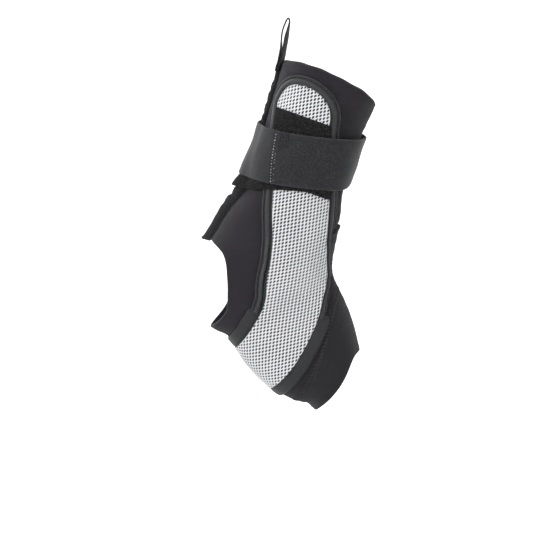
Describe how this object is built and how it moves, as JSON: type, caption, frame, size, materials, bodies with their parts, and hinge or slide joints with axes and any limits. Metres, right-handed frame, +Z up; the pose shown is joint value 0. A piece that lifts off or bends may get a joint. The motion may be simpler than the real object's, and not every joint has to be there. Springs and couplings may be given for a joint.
{
  "type": "ankle support",
  "caption": "Open-heel, open-toe ankle support of stretch cloth, with a mesh stirrup, taped edges, a wrap strap and a pull loop, in its worn form.",
  "frame": {"origin": "middle of the ankle that the support is worn on, inside the hollow, between the two sides of the mesh stirrup", "axes": "+Z up along the worn leg as it stands in the picture, +X forward to the toes, -Y to the outer side of a right foot"},
  "size_m": [0.1478, 0.0863, 0.3424],
  "materials": {
    "neoprene": "fine charcoal knit facing on a foam sheet, matt",
    "binding": "folded stretch tape with a stitch line, soft sheen",
    "tape": "plain woven tape, soft sheen",
    "spacer_mesh": "pale grey knitted net with slanted oval holes",
    "pile": "black brushed loop pile",
    "webbing": "narrow black ribbed webbing",
    "elastic": "charcoal knitted elastic, matt with a fine grain"
  },
  "bodies": {
    "root": {"sleeve": "neoprene", "foot_wrap": "neoprene", "foot_cuff": "neoprene", "back_seam": "binding", "pull_loop": "webbing", "mesh_panel": "spacer_mesh", "panel_binding_lateral": "binding", "panel_binding_medial": "binding", "stirrup_tape_rear": "tape", "stirrup_tape_front": "tape", "loop_patch_lateral": "pile", "loop_patch_medial": "pile", "base_band": "pile", "strap": "elastic"}
  },
  "joints": []
}
